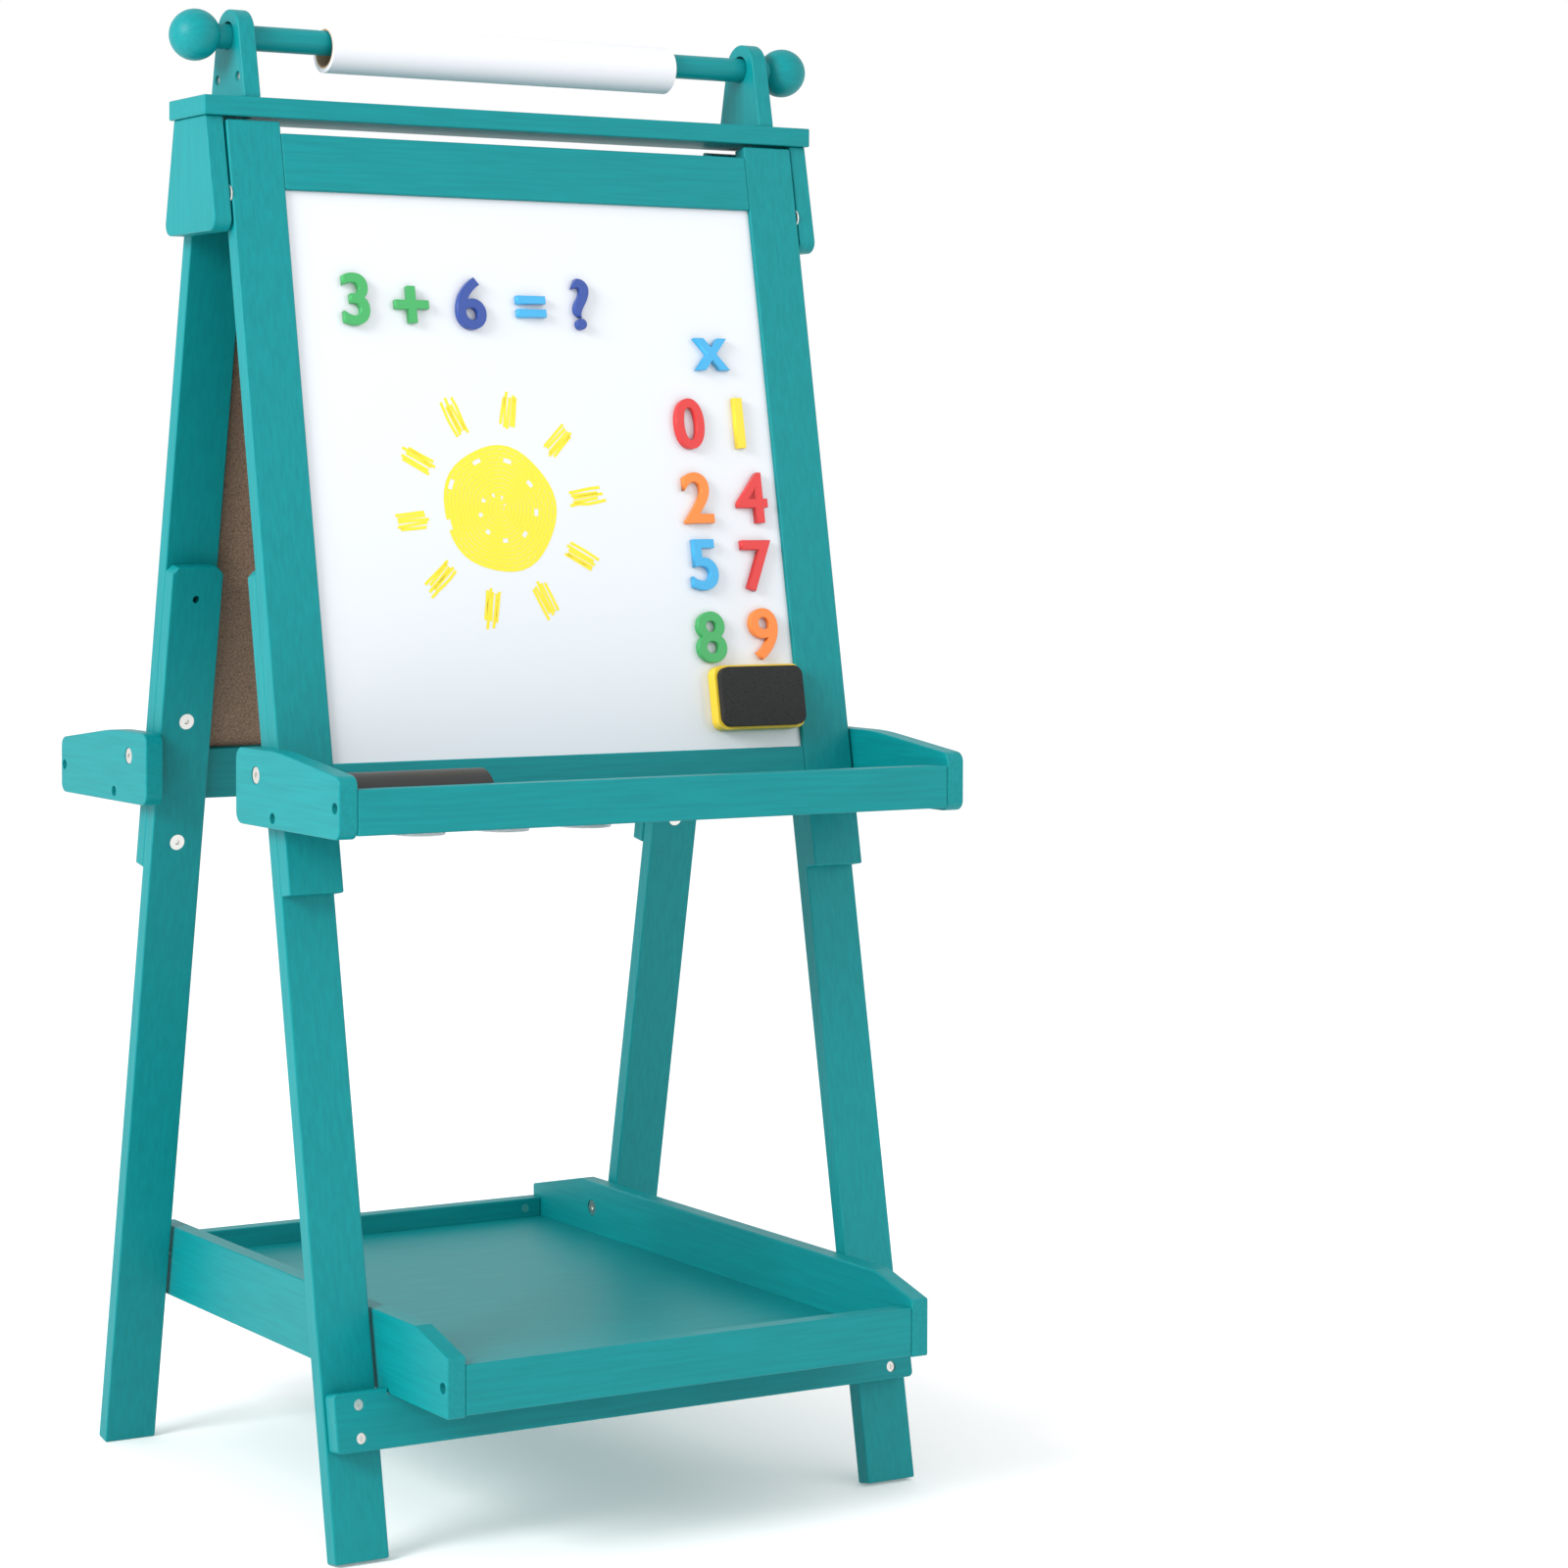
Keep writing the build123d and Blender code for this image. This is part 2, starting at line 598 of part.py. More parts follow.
def make_leg(facing, side, name, pivot):
    low, high = sorted((side * (HALF - LEG_WIDTH), side * HALF))
    top, cut = -LEG_TOP_DROP, LEG_CHAMFER
    outline = [(low, -LEG_END), (high, -LEG_END), (high, top - cut), (high - cut, top)]
    outline += [(low + cut, top), (low, top - cut)]
    inner_face = frame_plane(facing, -2 * FRAME_STOCK)
    back = Plane(origin=inner_face.origin, x_dir=inner_face.x_dir, z_dir=-inner_face.z_dir)
    with BuildPart() as leg:
        extrude_board(inner_face, outline, [CORNER] * len(outline), FRAME_STOCK)
        middle = side * LEG_MIDDLE
        for down in leg_bolt_drops():
            cut_bolt(back, (middle, down), FRAME_STOCK, FIT)
        spare = LEG_TOP_DROP + LEG_HOLE_DROP
        cylinder(back, (middle, spare), BOLT_RADIUS + FIT, FRAME_STOCK, Mode.SUBTRACT)
        if pivot:
            cut_shelf_pivot(facing, side)
        else:
            for place in cross_screw_places():
                if place[0] * side > 0:
                    depth = SCREW_LENGTH - BOARD
                    front = frame_plane(facing, -FRAME_STOCK)
                    cylinder(front, place, SCREW_RADIUS + FIT, depth, Mode.SUBTRACT)
    finish(leg, f"{name}_{world_side(facing, side)}_leg")


def shelf_pivot():
    """Reach and height of the shelf's pivot, in the middle of the rear legs' thickness."""
    height = shelf_bottom() + SHELF_PIVOT_RISE
    down = (STILE_TOP_Z - 1.5 * FRAME_STOCK * sin(LEAN) - height) / cos(LEAN)
    return side_point(down, -1.5 * FRAME_STOCK)


def cut_shelf_pivot(facing, side):
    """The blind hole of a shelf pivot bolt, in the inner edge of a rear leg."""
    depth = BOLT_LENGTH - BOARD
    start = side * (HALF - LEG_WIDTH)
    outer = start + depth if side > 0 else start
    with BuildSketch(side_plane(facing, outer)) as profile:
        with Locations(shelf_pivot()):
            Circle(BOLT_RADIUS + FIT)
    extrude(profile.sketch, amount=depth, mode=Mode.SUBTRACT)


def make_frame_bolts(facing, label, pivots):
    """The leg bolts, and the pivot bolts that turn in the trays' ends and the shelf's sides."""
    inner_face = frame_plane(facing, -2 * FRAME_STOCK)
    back = Plane(origin=inner_face.origin, x_dir=inner_face.x_dir, z_dir=-inner_face.z_dir)
    with BuildPart() as bolts:
        for side in (-1, 1):
            for down in leg_bolt_drops():
                add_bolt(back.offset(-FIT), (side * LEG_MIDDLE, down), LEG_BOLT_LENGTH - FIT)
        tray_head = HALF + TRAY_GAP + BOARD - HEAD_GAP
        add_bolt_pair(facing, side_point(TRAY_PIVOT_DROP, -FRAME_STOCK / 2), tray_head, -1)
        if pivots:
            shelf_head = SHELF_HALF_WIDTH - BOARD + HEAD_GAP
            add_bolt_pair(facing, shelf_pivot(), shelf_head, 1)
    finish(bolts, label)


def add_bolt_pair(facing, place, head, inwards):
    """Two bolts along X with their heads at +-head. inwards is -1 where the shanks point inwards."""
    for side in (-1, 1):
        head_face = Plane(
            origin=(side * head, 0, 0), x_dir=(0, facing, 0), z_dir=(-side * inwards, 0, 0)
        )
        reach, height = place
        flip = head_face.y_dir.Z
        add_bolt(head_face, (reach, flip * height), BOLT_LENGTH)


# Cross rail of the front legs


def cross_screw_places():
    """Across the frame, and up it, of the cross rail's screws."""
    middle = CROSS_DROP + CROSS_HEIGHT / 2
    shift = CROSS_SCREW_SPACING / 2
    return [(side * LEG_MIDDLE, -middle + up) for side in (-1, 1) for up in (-shift, shift)]


def cut_notch(side):
    """A notch in the cross rail's top edge, for a side board of the shelf."""
    front_height = side_point(0, CROSS_PROUD)[1]
    floor = (front_height - shelf_bottom() + STOP_GAP) / cos(LEAN)
    middle = side * (SHELF_HALF_WIDTH - BOARD / 2)
    half = BOARD / 2 + NOTCH_SLACK
    points = rectangle(middle - half, middle + half, -floor, -CROSS_DROP + NOTCH_CORNER)
    with BuildSketch(frame_plane(-1, CROSS_PROUD)) as profile:
        with BuildLine():
            FilletPolyline(*points, radius=NOTCH_CORNER / 2, close=True)
        make_face()
    extrude(profile.sketch, amount=-BOARD, mode=Mode.SUBTRACT)


def make_cross_rail():
    half = CROSS_LENGTH / 2
    points = rectangle(-half, half, -(CROSS_DROP + CROSS_HEIGHT), -CROSS_DROP)
    front = frame_plane(-1, CROSS_PROUD)
    with BuildPart() as rail:
        extrude_board(front.offset(-BOARD), points, [CROSS_CORNER] * len(points), BOARD)
        for side in (-1, 1):
            cut_notch(side)
        for place in cross_screw_places():
            cut_screw(front, place, BOARD, EDGE)
    finish(rail, "cross_rail")
    with BuildPart() as screws:
        for place in cross_screw_places():
            add_screw(front.offset(-EDGE), place, SCREW_LENGTH - 2 * EDGE)
    finish(screws, "cross_rail_screws")


# Trays


def tray_levels():
    """Reach and height of a tray's pivot, and the heights of its lip's and rail's lower edges."""
    reach, height = side_point(TRAY_PIVOT_DROP, -FRAME_STOCK / 2)
    low = height - TRAY_BOTTOM
    return reach, height, low + LIP_RISE, low + RAIL_RISE


def tray_reaches():
    """Reach of the lip's inner face, and of the rail's front and back."""
    pivot, _, _, rail_low = tray_levels()
    lip = pivot + TRAY_FRONT - LIP
    back = face_reach(rail_low) + STOP_GAP
    return lip, back + RAIL_DEPTH, back


def tray_bolt_places():
    """Reach and height of the bolts that hold the lip and the rail."""
    _, _, lip_low, rail_low = tray_levels()
    lip, front, back = tray_reaches()
    return [(lip + LIP / 2, lip_low + LIP_SCREW_RISE), ((front + back) / 2, rail_low + BOARD / 2)]


def make_tray_end(facing, side, name):
    """side is -1 for the end plate at -X and 1 for the other."""
    pivot, height, _, _ = tray_levels()
    low, top, nose = height - TRAY_BOTTOM, height + TRAY_TOP, height + TRAY_NOSE
    back, front = pivot - TRAY_BACK, pivot + TRAY_FRONT
    outline = [(back, low), (front, low), (front, nose), (pivot + TRAY_BEND, top), (back, top)]
    radii = [EAR_CORNER, TRAY_CORNER, TRAY_CORNER, TRAY_BEND_RADIUS, EAR_CORNER]
    outer = TRAY_INNER + BOARD
    start = Plane(origin=(side * outer, 0, 0), x_dir=(0, facing, 0), z_dir=(facing, 0, 0))
    if side != -facing:
        start = start.offset(-BOARD)
    outside = Plane(origin=(side * outer, 0, 0), x_dir=(0, facing, 0), z_dir=(side, 0, 0))
    flip = outside.y_dir.Z
    with BuildPart() as end:
        extrude_board(start, outline, radii, BOARD)
        cut_bolt(outside, (pivot, flip * height), BOARD, HEAD_GAP)
        for reach, level in tray_bolt_places():
            cut_screw(outside, (reach, flip * level), BOARD, SCREW_SINK)
    finish(end, f"{name}_tray_{'left' if side < 0 else 'right'}_end")


def make_tray_bar(facing, reaches, heights, label, nut_below):
    """The lip or the rail of a tray, with a groove for the floor and holes for its bolts."""
    floor_top = tray_levels()[2] + TRAY_FLOOR_RISE + TRAY_FLOOR + GROOVE_SLACK / 2
    near = reaches[1] - TRAY_TONGUE if nut_below else reaches[0]
    far = near + TRAY_TONGUE
    across = (-TRAY_INNER, TRAY_INNER)
    thickness = heights[1] - heights[0]
    place = tray_bolt_places()[1 if nut_below else 0]
    with BuildPart() as bar:
        extrude_rectangle(level_plane(facing, heights[0]), across, (-reaches[1], -reaches[0]), thickness)
        cut_box(level_plane(facing, floor_top), across, (-far, -near), TRAY_FLOOR + GROOVE_SLACK)
        for side in (-1, 1):
            cut_nut_and_bolt(facing, side, TRAY_INNER, place, nut_below, heights[0], reaches[0])
    finish(bar, label)


def cut_nut_and_bolt(facing, side, end, place, nut_below, under, inner):
    """A bolt's hole in a bar's end, and its barrel nut's hole from below or from the inner face."""
    reach, height = place
    depth = NUT_REACH + NUT_RADIUS
    outer = end if side > 0 else -end + depth
    with BuildSketch(side_plane(facing, outer)) as profile:
        with Locations((reach, height)):
            Circle(SCREW_RADIUS + FIT)
    extrude(profile.sketch, amount=depth, mode=Mode.SUBTRACT)
    across = side * (end - NUT_REACH)
    plane, centre = nut_plane(facing, across, place, nut_below, under, inner)
    cylinder(plane, centre, NUT_RADIUS + FIT, NUT_LENGTH + FIT, Mode.SUBTRACT)


def nut_plane(facing, across, place, nut_below, under, inner):
    """The face that a barrel nut goes in from, and where on it."""
    reach, height = place
    if nut_below:
        below = Plane(origin=(0, 0, under), x_dir=(-facing, 0, 0), z_dir=(0, 0, -1))
        return below, (across, reach)
    inside = Plane(origin=(0, facing * inner, 0), x_dir=(-facing, 0, 0), z_dir=(0, -facing, 0))
    return inside, (across, inside.y_dir.Z * height)


def add_bar_fastener(facing, side, end, place, nut_below, under, inner):
    """One bolt through an end board into a bar, and its barrel nut. The head is sunk."""
    reach, height = place
    head_at = end + BOARD - SCREW_SINK
    outside = Plane(origin=(side * head_at, 0, 0), x_dir=(0, facing, 0), z_dir=(side, 0, 0))
    length = BOARD - SCREW_SINK + NUT_REACH + NUT_RADIUS - FIT
    across = side * (end - NUT_REACH)
    plane, centre = nut_plane(facing, -facing * across, place, nut_below, under, inner)
    add_screw(outside, (reach, outside.y_dir.Z * height), length)
    cylinder(plane.offset(-EDGE / 2), centre, NUT_RADIUS, NUT_LENGTH - EDGE / 2)


def make_tray_bolts(facing, label):
    _, _, lip_low, rail_low = tray_levels()
    lip, _, back = tray_reaches()
    lip_place, rail_place = tray_bolt_places()
    with BuildPart() as bolts:
        for side in (-1, 1):
            add_bar_fastener(facing, side, TRAY_INNER, lip_place, False, lip_low, lip)
            add_bar_fastener(facing, side, TRAY_INNER, rail_place, True, rail_low, back)
    finish(bolts, label)


def make_tray_floor(facing, label, holes):
    """The floor board, with round holes for the paint cups in one of the trays."""
    lip, front, _ = tray_reaches()
    bottom = level_plane(facing, tray_levels()[2] + TRAY_FLOOR_RISE)
    slack = TRAY_TONGUE - GROOVE_SLACK
    with BuildPart() as floor:
        with BuildSketch(bottom):
            with Locations((0, -(lip + front) / 2)):
                Rectangle(2 * (TRAY_INNER - GROOVE_SLACK), lip - front + 2 * slack)
            if holes:
                with Locations(*cup_centres()):
                    Circle(CUP_RADIUS + FIT_GAP, mode=Mode.SUBTRACT)
        extrude(amount=TRAY_FLOOR)
    finish(floor, label)


def make_tray(facing, name, holes):
    _, _, lip_low, rail_low = tray_levels()
    lip, front, back = tray_reaches()
    for side in (-1, 1):
        make_tray_end(facing, side, name)
    make_tray_bar(facing, (lip, lip + LIP), (lip_low, lip_low + LIP_HEIGHT), f"{name}_tray_lip", False)
    make_tray_bar(facing, (back, front), (rail_low, rail_low + BOARD), f"{name}_tray_rail", True)
    make_tray_floor(facing, f"{name}_tray_floor", holes)
    make_tray_bolts(facing, f"{name}_tray_bolts")


# Paint cups, in the rear tray


def cup_centres():
    """Centres of the cups in the rear tray's own level plane."""
    lip, front, _ = tray_reaches()
    first = -TRAY_INNER + CUP_FIRST
    return [(first + index * CUP_PITCH, -(lip + front) / 2) for index in range(CUP_COUNT)]


def revolve_cup(points, centre, base):
    """Revolve an outline of radius and height about a cup's upright axis."""
    plane = level_plane(1, base)
    origin = plane.from_local_coords((*centre, 0))
    upright = Plane(origin=origin, x_dir=(1, 0, 0), z_dir=(0, -1, 0))
    with BuildSketch(upright) as profile:
        with BuildLine():
            Polyline(*points, close=True)
        make_face()
    revolve(profile.sketch, axis=Axis(origin, (0, 0, 1)))


def make_cup(centre, label):
    """A tapered cup that hangs by its rim in the tray's floor."""
    top = tray_levels()[2] + TRAY_FLOOR_RISE + TRAY_FLOOR + AIR
    inner_top, inner_base = CUP_RADIUS - CUP_WALL, CUP_BASE_RADIUS - CUP_WALL
    outline = [(0, -CUP_DEPTH), (CUP_BASE_RADIUS, -CUP_DEPTH), (CUP_RADIUS, 0), (CUP_RIM_RADIUS, 0)]
    outline += [(CUP_RIM_RADIUS, CUP_WALL), (inner_top, CUP_WALL)]
    outline += [(inner_base, -CUP_DEPTH + CUP_WALL), (0, -CUP_DEPTH + CUP_WALL)]
    with BuildPart() as cup:
        revolve_cup(outline, centre, top)
    finish(cup, f"{label}_cup")
    make_lid(centre, label, top + CUP_WALL + AIR)


def make_lid(centre, label, seat):
    """A lid with a funnel down to a round hole, and the plug that closes the hole."""
    wall, neck, spout = CUP_WALL, CUP_RADIUS - 2 * CUP_WALL, PLUG_RADIUS + FIT
    outline = [(spout, -LID_FUNNEL), (spout + wall, -LID_FUNNEL), (neck, -wall), (neck, 0)]
    outline += [(LID_RADIUS, 0), (LID_RADIUS, LID_RISE - wall), (LID_RADIUS - wall, LID_RISE)]
    outline += [(neck, LID_RISE), (spout, -LID_FUNNEL + PLUG_HEIGHT)]
    plug = [(0, -LID_FUNNEL), (PLUG_RADIUS, -LID_FUNNEL)]
    plug += [(PLUG_RADIUS, -LID_FUNNEL + PLUG_HEIGHT), (0, -LID_FUNNEL + PLUG_HEIGHT)]
    with BuildPart() as lid:
        revolve_cup(outline, centre, seat)
        revolve_cup(plug, centre, seat)
    finish(lid, f"{label}_lid")


# Bottom shelf


def shelf_bottom():
    """Height of the side boards' lower edges, which sit a little below the cross rail's top."""
    return side_point(CROSS_DROP, 0)[1] - SHELF_SEAT


def shelf_outline():
    low = shelf_bottom()
    top = low + SHELF_HEIGHT
    outline = [(-SHELF_BACK, low), (SHELF_FRONT, low)]
    outline += [(SHELF_FRONT, top - SHELF_FRONT_FALL)]
    outline += [(SHELF_FRONT - SHELF_FRONT_CLIP, top), (-SHELF_BACK + SHELF_BACK_CLIP, top)]
    outline += [(-SHELF_BACK, top - SHELF_BACK_FALL)]
    return outline


def shelf_bolt_places():
    """Reach, towards the front, and height of the bolts that hold the shelf's two lips."""
    low = shelf_bottom() + SHELF_LIP_RISE
    front = (SHELF_FRONT - LIP / 2, low + LIP_SCREW_RISE)
    back = (-SHELF_BACK + LIP / 2, low + LIP_SCREW_RISE)
    return [front, back]


def make_shelf_side(side, label):
    outer = SHELF_HALF_WIDTH if side > 0 else -(SHELF_HALF_WIDTH - BOARD)
    inner = SHELF_HALF_WIDTH - BOARD
    outline = shelf_outline()
    pivot_reach, pivot_height = shelf_pivot()
    with BuildPart() as board:
        extrude_board(side_plane(-1, outer), outline, [CORNER] * len(outline), BOARD)
        inside = Plane(origin=(side * inner, 0, 0), x_dir=(0, -1, 0), z_dir=(-side, 0, 0))
        flip = inside.y_dir.Z
        cut_bolt(inside, (-pivot_reach, flip * pivot_height), BOARD, HEAD_GAP)
        outside = Plane(origin=(side * SHELF_HALF_WIDTH, 0, 0), x_dir=(0, -1, 0), z_dir=(side, 0, 0))
        flip = outside.y_dir.Z
        for reach, height in shelf_bolt_places():
            cut_screw(outside, (reach, flip * height), BOARD, SCREW_SINK)
        floor_top = Plane.XY.offset(shelf_bottom() + SHELF_FLOOR_RISE + SHELF_FLOOR + GROOVE_SLACK / 2)
        across = sorted((side * inner, side * (inner + TRAY_TONGUE)))
        along = (-SHELF_FRONT + BOARD / 2, SHELF_BACK - BOARD / 2)
        cut_box(floor_top, across, along, SHELF_FLOOR + GROOVE_SLACK)
    finish(board, label)


def make_shelf_lip(facing, reach, height, place, label):
    """A lip between the shelf's side boards. reach is its outer face, on the side it faces."""
    inner = SHELF_HALF_WIDTH - BOARD
    low = shelf_bottom()
    under = low + SHELF_LIP_RISE
    floor_top = level_plane(facing, low + SHELF_FLOOR_RISE + SHELF_FLOOR + GROOVE_SLACK / 2)
    along = (-reach + LIP - TRAY_TONGUE, -reach + LIP)
    with BuildPart() as lip:
        extrude_rectangle(level_plane(facing, under), (-inner, inner), (-reach, -reach + LIP), height)
        cut_box(floor_top, (-inner, inner), along, SHELF_FLOOR + GROOVE_SLACK)
        for side in (-1, 1):
            cut_nut_and_bolt(facing, side, inner, place, False, under, reach - LIP)
    finish(lip, label)


def make_shelf():
    inner = SHELF_HALF_WIDTH - BOARD
    low = shelf_bottom()
    make_shelf_side(-1, "shelf_left_side")
    make_shelf_side(1, "shelf_right_side")
    front_place, back_place = shelf_bolt_places()
    back_place = (-back_place[0], back_place[1])
    make_shelf_lip(-1, SHELF_FRONT, FRONT_LIP_HEIGHT, front_place, "shelf_front_lip")
    make_shelf_lip(1, SHELF_BACK, BACK_LIP_HEIGHT, back_place, "shelf_rear_lip")
    slack = TRAY_TONGUE - GROOVE_SLACK
    length = SHELF_FRONT + SHELF_BACK - 2 * LIP + 2 * slack
    with BuildPart() as floor:
        with BuildSketch(Plane.XY.offset(low + SHELF_FLOOR_RISE)):
            with Locations((0, (SHELF_BACK - SHELF_FRONT) / 2)):
                Rectangle(2 * (inner + slack), length)
        extrude(amount=SHELF_FLOOR)
    finish(floor, "shelf_floor")
    with BuildPart() as bolts:
        for side in (-1, 1):
            add_bar_fastener(-1, side, inner, front_place, False, low + SHELF_LIP_RISE, SHELF_FRONT - LIP)
            add_bar_fastener(1, side, inner, back_place, False, low + SHELF_LIP_RISE, SHELF_BACK - LIP)
    finish(bolts, "shelf_bolts")


# Magnetic numerals and erasers

# Strokes of each numeral on a grid 2 wide and 4 high, as corners with rounded bends
STROKES = {
    "0": [[(0, 1), (0, 0), (2, 0), (2, 4), (0, 4), (0, 1)]],
    "1": [[(0.4, 3.2), (1.2, 4), (1.2, 0)]],
    "2": [[(0, 3.2), (0, 4), (2, 4), (2, 2.4), (0, 0), (2, 0)]],
    "3": [[(0, 4), (2, 4), (2, 2), (0.7, 2)], [(0.7, 2), (2, 2), (2, 0), (0, 0)]],
    "4": [[(1.5, 0), (1.5, 4), (0, 1.2), (2.2, 1.2)]],
    "5": [[(2, 4), (0, 4), (0, 2.3), (2, 2.3), (2, 0), (0, 0)]],
    "6": [[(2, 4), (0, 4), (0, 0), (2, 0), (2, 2), (0, 2)]],
    "7": [[(0, 4), (2, 4), (0.7, 0)]],
    "8": [[(0, 2), (0, 0), (2, 0), (2, 2)], [(0, 2), (2, 2)], [(0, 2), (0, 4), (2, 4), (2, 2)]],
    "9": [[(0, 0), (2, 0), (2, 4), (0, 4), (0, 2), (2, 2)]],
    "plus": [[(1, 0.8), (1, 3.2)], [(-0.2, 2), (2.2, 2)]],
    "times": [[(0.1, 1.1), (1.9, 2.9)], [(0.1, 2.9), (1.9, 1.1)]],
    "equals": [[(0, 1.3), (2, 1.3)], [(0, 2.7), (2, 2.7)], [(1, 1.3), (1, 2.7)]],
    "query": [[(0, 3.2), (0, 4), (2, 4), (2, 2), (1, 2), (1, 0)]],
}

# Each numeral's middle: across the board, and down the frame
NUMERAL_PLACES = [
    ("3", -158, 137), ("plus", -110, 140), ("6", -58, 138), ("equals", -4, 139), ("query", 42, 136),
    ("times", 159, 174), ("0", 132, 231), ("1", 179, 230), ("2", 133, 291), ("4", 184, 291),
    ("5", 133, 345), ("7", 183, 346), ("8", 133, 403), ("9", 183, 401),
]


def make_numerals():
    """Magnetic numerals on the whiteboard: each one a flat solid of strokes."""
    board = frame_plane(-1, -BOARD_RECESS)
    with BuildPart() as numerals:
        for name, across, down in NUMERAL_PLACES:
            for stroke in STROKES[name]:
                make_stroke(board, stroke, across, down)
    finish(numerals, "numerals")


def make_stroke(board, stroke, across, down):
    """One stroke of a numeral whose middle is at across and down: straight bars with round ends."""
    points = [(across + (x - 1) * NUMERAL_GRID, -down + (y - 2) * NUMERAL_GRID) for x, y in stroke]
    with BuildSketch(board) as profile:
        for start, end in zip(points, points[1:]):
            run, rise = end[0] - start[0], end[1] - start[1]
            with Locations((start[0] + run / 2, start[1] + rise / 2)):
                SlotCenterToCenter(hypot(run, rise), NUMERAL_STROKE, rotation=degrees(atan2(rise, run)))
    extrude(profile.sketch, amount=NUMERAL)


def make_board_eraser():
    """A magnetic eraser on the whiteboard: a body, and felt on the side that faces out."""
    across, down = BOARD_ERASER_AT
    width, height = BOARD_ERASER
    start = frame_plane(-1, -BOARD_RECESS + AIR)
    layers = [(start, ERASER_BODY, 0), (start.offset(ERASER_BODY), ERASER_FELT, FELT_INSET)]
    with BuildPart() as eraser:
        for plane, thickness, inset in layers:
            with BuildSketch(plane):
                with Locations((across, -down)):
                    RectangleRounded(width - 2 * inset, height - 2 * inset, ERASER_CORNER)
            extrude(amount=thickness)
    finish(eraser, "board_eraser")


def make_tray_eraser():
    """A chalk eraser in the front tray: a domed handle on a felt base."""
    across, middle = TRAY_ERASER_AT
    length, depth = TRAY_ERASER
    seat = tray_levels()[2] + TRAY_FLOOR_RISE + TRAY_FLOOR + AIR
    low, high = (middle - depth / 2, seat + DOME_BASE), (middle + depth / 2, seat + DOME_BASE)
    with BuildPart() as eraser:
        with BuildSketch(side_plane(-1, across + length / 2)):
            with BuildLine():
                ThreePointArc(low, (middle, seat + DOME_BASE + DOME), high)
                Polyline(high, (high[0], seat), (low[0], seat), low)
            make_face()
        extrude(amount=length)
    finish(eraser, "tray_eraser")


def make_frame(facing, name):
    for side in (-1, 1):
        make_stile(facing, side, name)
        make_leg(facing, side, name, pivot=facing > 0)
    top_groove = (OPENING_TOP - GROOVE_DEPTH, OPENING_TOP + EDGE)
    make_rail(facing, TOP_RAIL_DROP, TOP_RAIL_HEIGHT, top_groove, f"{name}_top_rail")
    bottom_groove = (OPENING_BOTTOM - EDGE, OPENING_BOTTOM + GROOVE_DEPTH)
    make_rail(facing, OPENING_BOTTOM, BOTTOM_RAIL_HEIGHT, bottom_groove, f"{name}_bottom_rail")
    make_frame_dowels(facing, f"{name}_frame_dowels")
    make_frame_bolts(facing, f"{name}_bolts", pivots=facing > 0)


def main():
    os.makedirs("parts", exist_ok=True)
    make_top_board()
    make_ear(-1, "left_ear")
    make_ear(1, "right_ear")
    make_ear_dowels()
    make_hinge_pins()
    make_bracket(-1, "left_roll_bracket")
    make_bracket(1, "right_roll_bracket")
    make_bracket_bolts()
    make_rod()
    make_balls()
    make_paper()
    make_frame(-1, "front")
    make_frame(1, "rear")
    make_panel(-1, -BOARD_RECESS, SHEET, "whiteboard")
    make_panel(-1, -BOARD_RECESS - SHEET, BACKING, "front_hardboard")
    make_panel(1, -BOARD_RECESS, SHEET + BACKING, "chalkboard")
    make_cross_rail()
    make_tray(-1, "front", holes=False)
    make_tray(1, "rear", holes=True)
    for centre, colour in zip(cup_centres(), ("red", "yellow", "blue")):
        make_cup(centre, colour)
    make_shelf()
    make_numerals()
    make_board_eraser()
    make_tray_eraser()


main()
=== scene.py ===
"""Looks of the folding easel: teal painted wood, a whiteboard, a chalkboard and small accessories.

Everything is in the CAD frame, in metres: the whiteboard faces -Y, +Z is up and the floor is at 0.
"""

import json
import math

import bpy
from mathutils import Euler, Matrix, Vector

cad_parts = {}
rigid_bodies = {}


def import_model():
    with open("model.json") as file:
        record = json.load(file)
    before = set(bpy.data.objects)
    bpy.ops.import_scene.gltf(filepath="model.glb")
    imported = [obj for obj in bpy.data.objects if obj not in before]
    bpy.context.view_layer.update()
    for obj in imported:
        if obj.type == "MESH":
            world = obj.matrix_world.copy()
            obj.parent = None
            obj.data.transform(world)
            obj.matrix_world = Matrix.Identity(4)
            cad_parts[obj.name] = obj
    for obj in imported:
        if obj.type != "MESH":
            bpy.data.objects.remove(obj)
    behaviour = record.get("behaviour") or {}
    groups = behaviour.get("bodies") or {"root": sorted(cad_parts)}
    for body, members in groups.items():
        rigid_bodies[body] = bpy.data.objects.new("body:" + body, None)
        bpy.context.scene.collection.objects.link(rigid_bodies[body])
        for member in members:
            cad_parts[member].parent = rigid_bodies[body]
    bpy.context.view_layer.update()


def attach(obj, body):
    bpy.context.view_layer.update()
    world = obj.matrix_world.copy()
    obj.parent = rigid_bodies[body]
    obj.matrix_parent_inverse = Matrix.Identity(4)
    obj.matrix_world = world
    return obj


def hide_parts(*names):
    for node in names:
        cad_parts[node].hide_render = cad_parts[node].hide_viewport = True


MM = 0.001
LEAN = math.radians(10.6)  # of each frame, from the vertical
HINGE_Y = 7.75  # the next four are the CAD's, in millimetres
STILE_TOP_REACH = 31.0
STILE_TOP_Z = 1057.48
BOARD_RECESS = 4.0
CUPS = {"red": (0.62, 0.02, 0.015), "yellow": (0.85, 0.55, 0.01), "blue": (0.02, 0.08, 0.45)}
